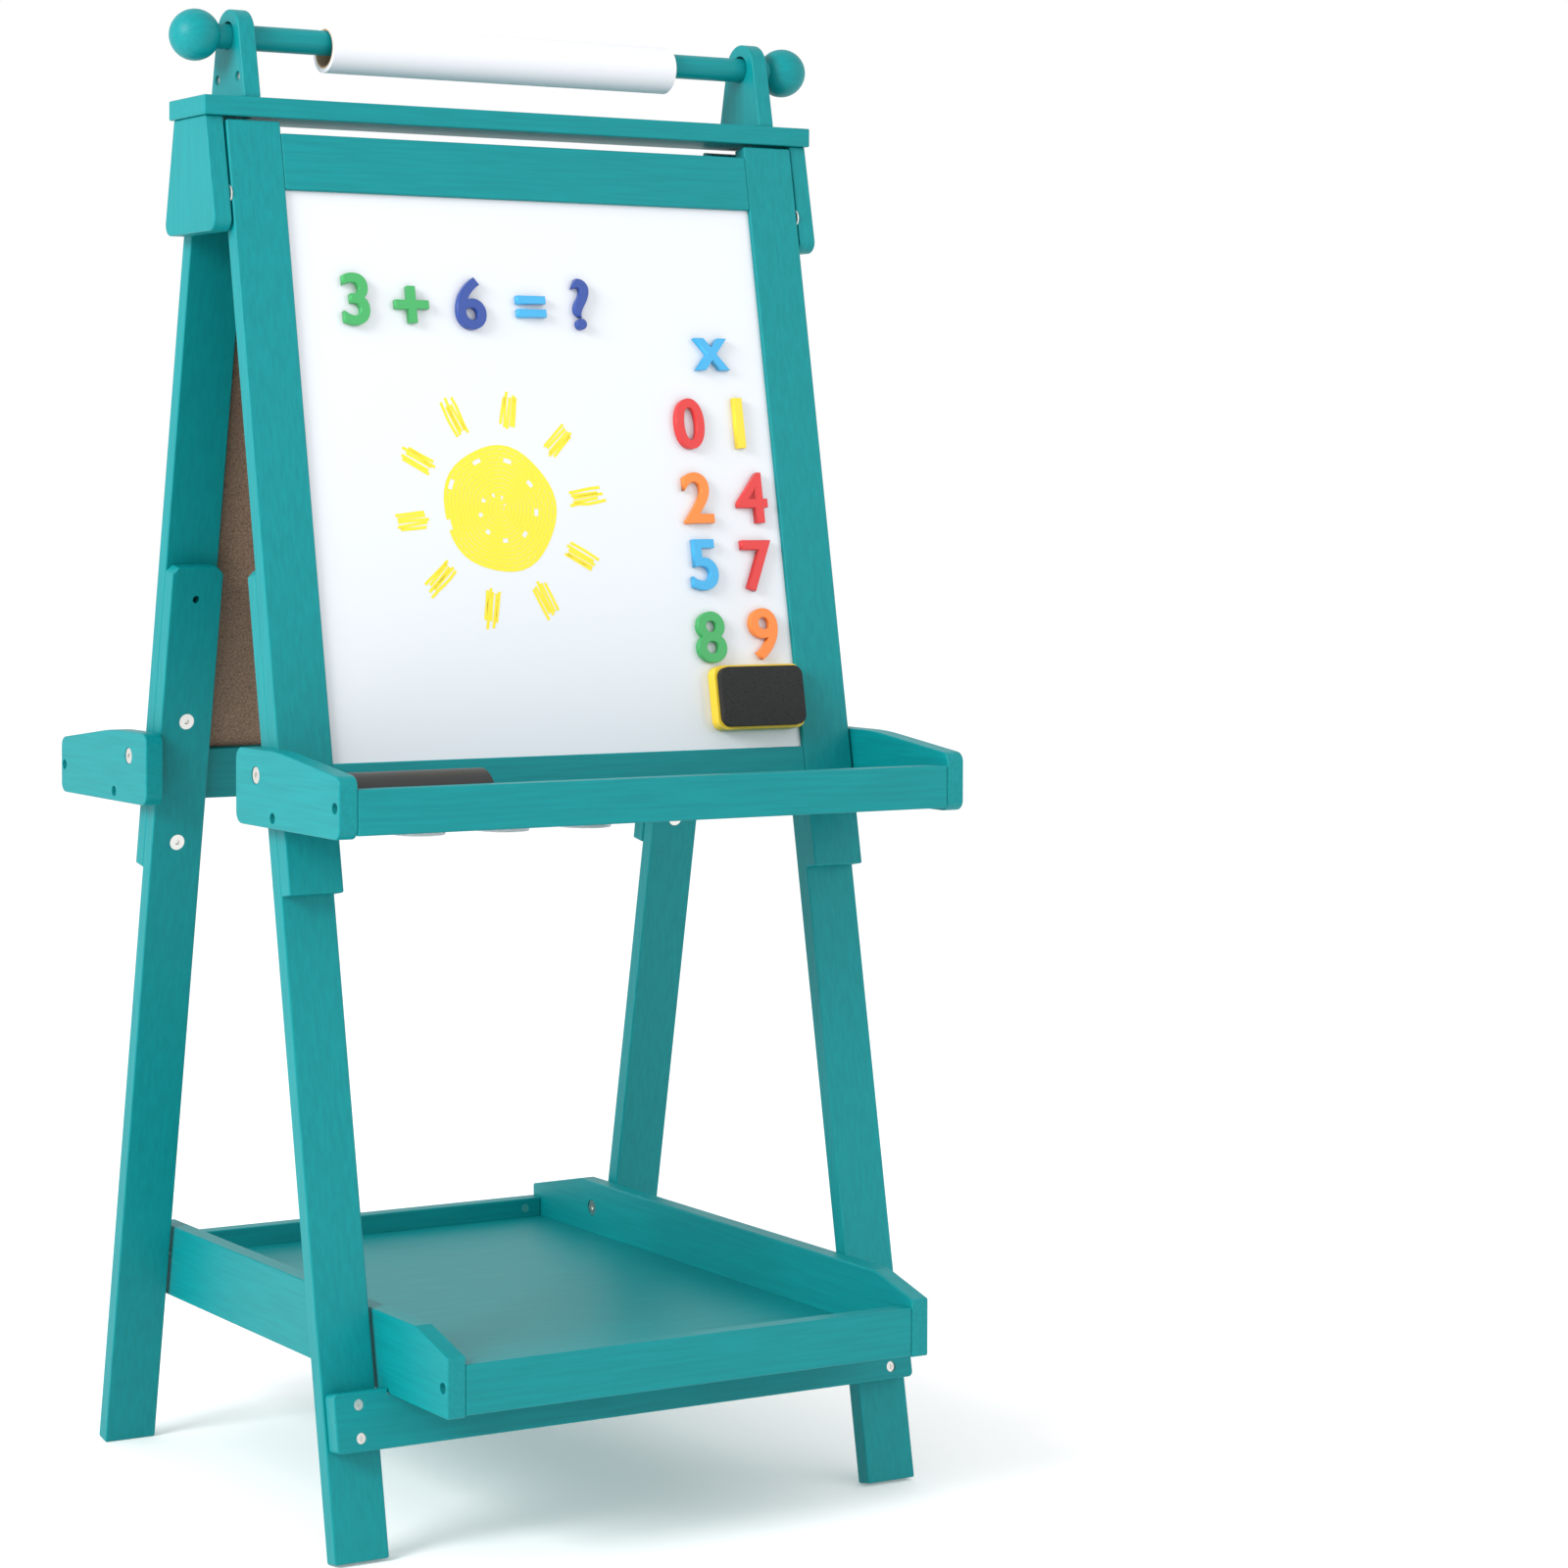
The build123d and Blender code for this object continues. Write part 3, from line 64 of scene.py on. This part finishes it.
# One colour for each numeral on the board, from the top row to the bottom one
NUMERALS = [
    ("3", "green", -158, 137), ("+", "green", -110, 140), ("6", "navy", -58, 138), ("=", "sky", -4, 139),
    ("?", "navy", 42, 136), ("x", "sky", 159, 174), ("0", "red", 132, 231), ("1", "yellow", 179, 230),
    ("2", "orange", 133, 291), ("4", "red", 184, 291), ("5", "sky", 133, 345), ("7", "red", 183, 346),
    ("8", "green", 133, 403), ("9", "orange", 183, 401),
]
NUMERAL_HEIGHT = 41.0
SIGN_HEIGHTS = {"+": 29.0, "=": 17.0, "x": 26.0}
SIGN_NAMES = {"+": "plus", "=": "equals", "x": "times", "?": "query"}
NUMERAL_THICKNESS = 5.4
NUMERAL_SWELL = 1.15  # how much a numeral's outline is fattened
NUMERAL_BEVEL = 0.5
NUMERAL_GAP = 0.1  # between a numeral and the whiteboard
NUMERAL_COLOURS = {
    "green": (0.03, 0.35, 0.09), "navy": (0.01, 0.05, 0.28), "sky": (0.03, 0.35, 0.65),
    "red": (0.62, 0.02, 0.02), "yellow": (0.85, 0.6, 0.02), "orange": (0.8, 0.2, 0.02),
}
TEAL = (0.0, 0.235, 0.25)
TEAL_DARK = (0.0, 0.207, 0.222)
TEAL_ROUGHNESS = 0.45
TEAL_SPECULAR = 0.22
GRAIN_SCALE = 60
GRAIN_BUMP = 0.12
# How the grain is stretched, for boards that stand up, run across and run front to back
GRAIN_STRETCH = {"upright": (6, 6, 0.3), "across": (0.3, 6, 6), "along": (6, 0.3, 6)}
EVEN = (1, 1, 1)
STROKE_RISE = 0.15  # of a drawn line above its board
SUN_CENTRE = (-46, 299)
SUN_RINGS = 15
SUN_RING_STEP = 3.3
SUN_STROKE = 3.1
SUN_RAYS = 10
RAY_LANES = 5
RAY_LANE_PITCH = 2.7
RAY_STROKE = 2.5
CHALK_STROKE = 3.2
ERASER_BODY_DEPTH = 10.2  # the rest of the board eraser is felt

FOCAL_LENGTH = 86.64
CAMERA_SHIFT = (0.1875, -0.1235)
CAMERA_PLACE = (-1.4767, -2.61421, 0.77673)
CAMERA_TURN = (29.24, -1.51, -0.09)  # yaw, pitch and roll, in degrees
LIGHT_TARGET = (0, 0, 0.6)
FLOOR_HALF = 20


# Materials


def new_material(name, colour, roughness, metallic=0.0, coat=0.0):
    material = bpy.data.materials.new(name)
    material.use_nodes = True
    shader = material.node_tree.nodes["Principled BSDF"]
    shader.inputs["Base Color"].default_value = (*colour, 1)
    shader.inputs["Roughness"].default_value = roughness
    shader.inputs["Metallic"].default_value = metallic
    shader.inputs["Coat Weight"].default_value = coat
    material.diffuse_color = (*colour, 1)
    return material


def add_grain(material, low, high, scale, stretch, bump):
    """Fine streaks along one axis, in the colour and as a slight relief."""
    tree = material.node_tree
    nodes, links = tree.nodes, tree.links
    shader = nodes["Principled BSDF"]
    place = nodes.new("ShaderNodeTexCoord")
    mapping = nodes.new("ShaderNodeMapping")
    mapping.inputs["Scale"].default_value = stretch
    noise = nodes.new("ShaderNodeTexNoise")
    noise.inputs["Scale"].default_value = scale
    noise.inputs["Detail"].default_value = 6
    ramp = nodes.new("ShaderNodeValToRGB")
    ramp.color_ramp.elements[0].position = 0.35
    ramp.color_ramp.elements[1].position = 0.65
    ramp.color_ramp.elements[0].color = (*low, 1)
    ramp.color_ramp.elements[1].color = (*high, 1)
    relief = nodes.new("ShaderNodeBump")
    relief.inputs["Strength"].default_value = bump
    relief.inputs["Distance"].default_value = MM
    links.new(place.outputs["Object"], mapping.inputs["Vector"])
    links.new(mapping.outputs["Vector"], noise.inputs["Vector"])
    links.new(noise.outputs["Fac"], ramp.inputs["Fac"])
    links.new(ramp.outputs["Color"], shader.inputs["Base Color"])
    links.new(noise.outputs["Fac"], relief.inputs["Height"])
    links.new(relief.outputs["Normal"], shader.inputs["Normal"])
    return material


def lower_specular(material, level):
    material.node_tree.nodes["Principled BSDF"].inputs["Specular IOR Level"].default_value = level


def make_materials():
    made = {}
    for name, stretch in GRAIN_STRETCH.items():
        plain = new_material("teal " + name, TEAL, TEAL_ROUGHNESS)
        made[name] = add_grain(plain, TEAL_DARK, TEAL, GRAIN_SCALE, stretch, GRAIN_BUMP)
        lower_specular(made[name], TEAL_SPECULAR)
    made["whiteboard"] = new_material("whiteboard", (0.66, 0.69, 0.73), 0.16, coat=0.3)
    plain = new_material("chalkboard", (0.012, 0.012, 0.013), 0.75)
    made["chalkboard"] = add_grain(plain, (0.009, 0.009, 0.01), (0.022, 0.022, 0.023), 14, EVEN, 0.05)
    plain = new_material("hardboard", (0.24, 0.15, 0.1), 0.8)
    made["hardboard"] = add_grain(plain, (0.15, 0.09, 0.06), (0.33, 0.22, 0.15), 900, EVEN, 0.3)
    made["zinc"] = new_material("zinc", (0.72, 0.71, 0.68), 0.28, metallic=1.0)
    made["dowel"] = new_material("dowel wood", (0.55, 0.36, 0.19), 0.6)
    made["paper"] = new_material("paper", (0.7, 0.71, 0.75), 0.75)
    made["card"] = new_material("cardboard", (0.42, 0.3, 0.19), 0.85)
    plain = new_material("felt", (0.015, 0.015, 0.015), 0.95)
    made["felt"] = add_grain(plain, (0.008, 0.008, 0.008), (0.03, 0.03, 0.03), 1500, EVEN, 0.5)
    made["black"] = new_material("black plastic", (0.012, 0.012, 0.013), 0.42)
    made["eraser"] = new_material("eraser yellow", (0.82, 0.56, 0.03), 0.45)
    made["crayon"] = new_material("marker yellow", (0.85, 0.68, 0.03), 0.5)
    made["chalk"] = new_material("chalk", (0.75, 0.76, 0.74), 0.95)
    frosted = new_material("frosted plastic", (0.8, 0.84, 0.87), 0.35)
    frosted.node_tree.nodes["Principled BSDF"].inputs["Transmission Weight"].default_value = 0.45
    made["frosted"] = frosted
    for name, colour in CUPS.items():
        made[name + " lid"] = new_material(name + " lid", colour, 0.3, coat=0.3)
    for name, colour in NUMERAL_COLOURS.items():
        made["numeral " + name] = new_material("numeral " + name, colour, 0.32, coat=0.2)
    return made


def finish_of(node):
    """Which material a CAD node wears."""
    if "dowels" in node:
        return "dowel"
    if any(word in node for word in ("bolts", "screws", "pins")):
        return "zinc"
    plain = {
        "whiteboard": "whiteboard", "chalkboard": "chalkboard", "front_hardboard": "hardboard",
        "paper_roll": "paper", "paper_core": "card", "board_eraser": "felt", "tray_eraser": "black",
        "red_lid": "red lid", "yellow_lid": "yellow lid", "blue_lid": "blue lid",
    }
    if node in plain:
        return plain[node]
    if node.endswith("_cup"):
        return "frosted"
    if node.endswith(("_end", "_side")):
        return "along"
    if node.endswith(("_stile", "_leg", "_ear", "_bracket")):
        return "upright"
    return "across"


def set_material(thing, material):
    thing.data.materials.clear()
    thing.data.materials.append(material)


# Small meshes


def link(name, mesh, material):
    thing = bpy.data.objects.new(name, mesh)
    bpy.context.scene.collection.objects.link(thing)
    set_material(thing, material)
    return thing


def outward(facing):
    """The direction that a frame's face looks in."""
    return Vector((0, facing * math.cos(LEAN), math.sin(LEAN)))


def board_point(facing, across, down, proud):
    """A point on a board, from millimetres across and down its frame and proud of the board."""
    out = proud - BOARD_RECESS
    reach = STILE_TOP_REACH + down * math.sin(LEAN) + out * math.cos(LEAN)
    height = STILE_TOP_Z - down * math.cos(LEAN) + out * math.sin(LEAN)
    return Vector((-facing * across, HINGE_Y + facing * reach, height)) * MM


def add_strip(name, points, facing, width, thickness, material):
    """A thin drawn line on a board: a ribbon through points given as across and down."""
    out = outward(facing)
    centre = [board_point(facing, x, y, 0) for x, y in points]
    verts, faces = [], []
    for index, point in enumerate(centre):
        before = centre[max(index - 1, 0)]
        after = centre[min(index + 1, len(centre) - 1)]
        side = (after - before).normalized().cross(out) * (width * MM / 2)
        lift = out * (thickness * MM)
        verts += [point - side + lift, point + side + lift]
        if index:
            first = 2 * index - 2
            faces.append((first, first + 1, first + 3, first + 2))
    mesh = bpy.data.meshes.new(name)
    mesh.from_pydata(verts, [], faces)
    return link(name, mesh, material)


def arc(centre, radius, start, end, count=32, wobble=0.0):
    """Points of an arc in board coordinates. Angles are degrees from the right, upwards."""
    points = []
    for index in range(count + 1):
        turn = math.radians(start + (end - start) * index / count)
        size = radius * (1 + wobble * math.sin(5 * turn + 1))
        points.append((centre[0] + size * math.cos(turn), centre[1] - size * math.sin(turn)))
    return points


def join(things, name):
    bpy.ops.object.select_all(action="DESELECT")
    for thing in things:
        thing.select_set(True)
    bpy.context.view_layer.objects.active = things[0]
    bpy.ops.object.join()
    things[0].name = name
    return things[0]


def draw_sun(made):
    """A sun in yellow marker: a filled disc of circling strokes, and rays."""
    strips = []
    for ring in range(SUN_RINGS):
        circle = arc(SUN_CENTRE, 2 + ring * SUN_RING_STEP, ring * 40, ring * 40 + 350, 40, 0.02)
        strips.append(add_strip("ring", circle, -1, SUN_STROKE, STROKE_RISE, made["crayon"]))
    for ray in range(SUN_RAYS):
        turn = math.radians(ray * 36 + 7)
        along, side = (math.cos(turn), math.sin(turn)), (-math.sin(turn), math.cos(turn))
        for lane in range(RAY_LANES):
            shift = (lane - 2) * RAY_LANE_PITCH
            start = 63 + 4 * abs(math.sin(2.3 * lane + ray))
            end = 96 - 7 * abs(math.sin(1.7 * lane + 2 * ray))
            line = []
            for step in range(5):
                r = start + (end - start) * step / 4
                aside = shift + 0.6 * math.sin(r + lane)
                across = SUN_CENTRE[0] + r * along[0] + aside * side[0]
                down = SUN_CENTRE[1] - r * along[1] - aside * side[1]
                line.append((across, down))
            strips.append(add_strip("ray", line, -1, RAY_STROKE, STROKE_RISE, made["crayon"]))
    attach(join(strips, "sun_drawing"), "front_frame")


def draw_chalk(made):
    """A plain chalk house of our own on the chalkboard."""
    house = [(-70, 400), (-70, 290), (70, 290), (70, 400), (-70, 400)]
    roof = [(-88, 292), (0, 215), (88, 292)]
    door = [(-18, 400), (-18, 340), (18, 340), (18, 400)]
    ground = [(-170, 402), (-60, 399), (60, 402), (170, 400)]
    moon = arc((125, 150), 26, 0, 360)
    lines = (house, roof, door, ground, moon)
    strips = [add_strip("chalk", line, 1, CHALK_STROKE, STROKE_RISE, made["chalk"]) for line in lines]
    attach(join(strips, "chalk_drawing"), "rear_frame")


def add_numeral(text, colour, across, down, made):
    """A magnetic numeral with rounded edges, lying on the whiteboard."""
    curve = bpy.data.curves.new("numeral", "FONT")
    curve.body = text
    curve.align_x = "CENTER"
    curve.size = 1
    flat = bpy.data.objects.new("numeral", curve)
    bpy.context.scene.collection.objects.link(flat)
    bpy.context.view_layer.update()
    graph = bpy.context.evaluated_depsgraph_get()
    mesh = bpy.data.meshes.new_from_object(flat.evaluated_get(graph))
    low = Vector(min(v.co[i] for v in mesh.vertices) for i in range(2))
    high = Vector(max(v.co[i] for v in mesh.vertices) for i in range(2))
    scale = (SIGN_HEIGHTS.get(text, NUMERAL_HEIGHT) - 2 * NUMERAL_SWELL) / (high.y - low.y)
    bpy.data.meshes.remove(mesh)
    curve.size = scale
    curve.offset = NUMERAL_SWELL - NUMERAL_BEVEL
    curve.extrude = NUMERAL_THICKNESS / 2 - NUMERAL_BEVEL
    curve.bevel_depth = NUMERAL_BEVEL
    curve.bevel_resolution = 3
    bpy.context.view_layer.update()
    graph = bpy.context.evaluated_depsgraph_get()
    mesh = bpy.data.meshes.new_from_object(flat.evaluated_get(graph))
    bpy.data.objects.remove(flat)
    middle = Vector((low + high) / 2 * scale)
    out = outward(-1)
    right, up = Vector((1, 0, 0)), Vector((0, math.sin(LEAN), math.cos(LEAN)))
    place = board_point(-1, across, down, NUMERAL_THICKNESS / 2 + NUMERAL_GAP)
    for vertex in mesh.vertices:
        x, y, z = vertex.co
        vertex.co = place + (right * (x - middle.x) + up * (y - middle.y) + out * z) * MM
    mesh.name = "numeral"
    return link("numeral_" + SIGN_NAMES.get(text, text), mesh, made["numeral " + colour])


def add_numerals(made):
    """All the numerals, which stand for the CAD's plain ones."""
    for text, colour, across, down in NUMERALS:
        numeral = add_numeral(text, colour, across, down, made)
        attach(numeral, "front_frame")
        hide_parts("numerals")


def colour_chalkboard(frame_object, made):
    """The chalkboard is hardboard that is painted on its outer face only."""
    mesh = frame_object.data
    mesh.materials.clear()
    mesh.materials.append(made["chalkboard"])
    mesh.materials.append(made["hardboard"])
    out = outward(1)
    for face in mesh.polygons:
        face.material_index = int(face.normal.dot(out) < 0.5)


def colour_eraser(frame_object, body, felt, limit):
    """Two finishes on one piece: its faces beyond a plane along the whiteboard's normal are felt."""
    out = outward(-1)
    mesh = frame_object.data
    mesh.materials.clear()
    mesh.materials.append(body)
    mesh.materials.append(felt)
    base = min(v.co.dot(out) for v in mesh.vertices)
    for face in mesh.polygons:
        face.material_index = int(face.center.dot(out) - base > limit * MM)


# Stage


def make_camera():
    data = bpy.data.cameras.new("camera")
    camera = bpy.data.objects.new("camera", data)
    bpy.context.scene.collection.objects.link(camera)
    data.sensor_width = 36
    data.lens = FOCAL_LENGTH
    data.shift_x, data.shift_y = CAMERA_SHIFT
    data.clip_end = 50
    camera.location = CAMERA_PLACE
    yaw, pitch, roll = (math.radians(angle) for angle in CAMERA_TURN)
    turn = Matrix.Rotation(-yaw, 3, "Z") @ Euler((math.pi / 2 + pitch, 0, 0)).to_matrix()
    camera.rotation_euler = (turn @ Matrix.Rotation(-roll, 3, "Z")).to_euler()
    bpy.context.scene.camera = camera


def add_area(name, place, size, power):
    data = bpy.data.lights.new(name, "AREA")
    data.size = size
    data.energy = power
    light = bpy.data.objects.new(name, data)
    bpy.context.scene.collection.objects.link(light)
    light.location = place
    light.rotation_euler = (Vector(LIGHT_TARGET) - Vector(place)).to_track_quat("-Z", "Y").to_euler()


def make_stage():
    floor_material = new_material("floor", (0.86, 0.86, 0.86), 0.9)
    floor_shader = floor_material.node_tree.nodes["Principled BSDF"]
    floor_shader.inputs["Emission Color"].default_value = (1, 1, 1, 1)
    floor_shader.inputs["Emission Strength"].default_value = 0.2
    mesh = bpy.data.meshes.new("floor")
    corners = [(x * FLOOR_HALF, y * FLOOR_HALF, 0) for x, y in ((-1, -1), (1, -1), (1, 1), (-1, 1))]
    mesh.from_pydata(corners, [], [(0, 1, 2, 3)])
    floor = link("floor", mesh, floor_material)
    world = bpy.data.worlds.new("world")
    bpy.context.scene.world = world
    world.use_nodes = True
    world.node_tree.nodes["Background"].inputs["Color"].default_value = (1, 1, 1, 1)
    world.node_tree.nodes["Background"].inputs["Strength"].default_value = 1.0
    add_area("key", (-3.2, -0.9, 2.2), 1.4, 115)
    add_area("fill", (2.4, -2.6, 1.9), 2.5, 12)
    bpy.context.scene.view_settings.view_transform = "Standard"


def main():
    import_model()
    made = make_materials()
    for thing in list(bpy.data.objects):
        if thing.type != "MESH":
            continue
        node = thing.name
        if node == "chalkboard":
            colour_chalkboard(thing, made)
        elif node == "board_eraser":
            colour_eraser(thing, made["eraser"], made["felt"], ERASER_BODY_DEPTH)
        else:
            set_material(thing, made[finish_of(node)])
    add_numerals(made)
    draw_sun(made)
    draw_chalk(made)
    make_stage()
    make_camera()


main()
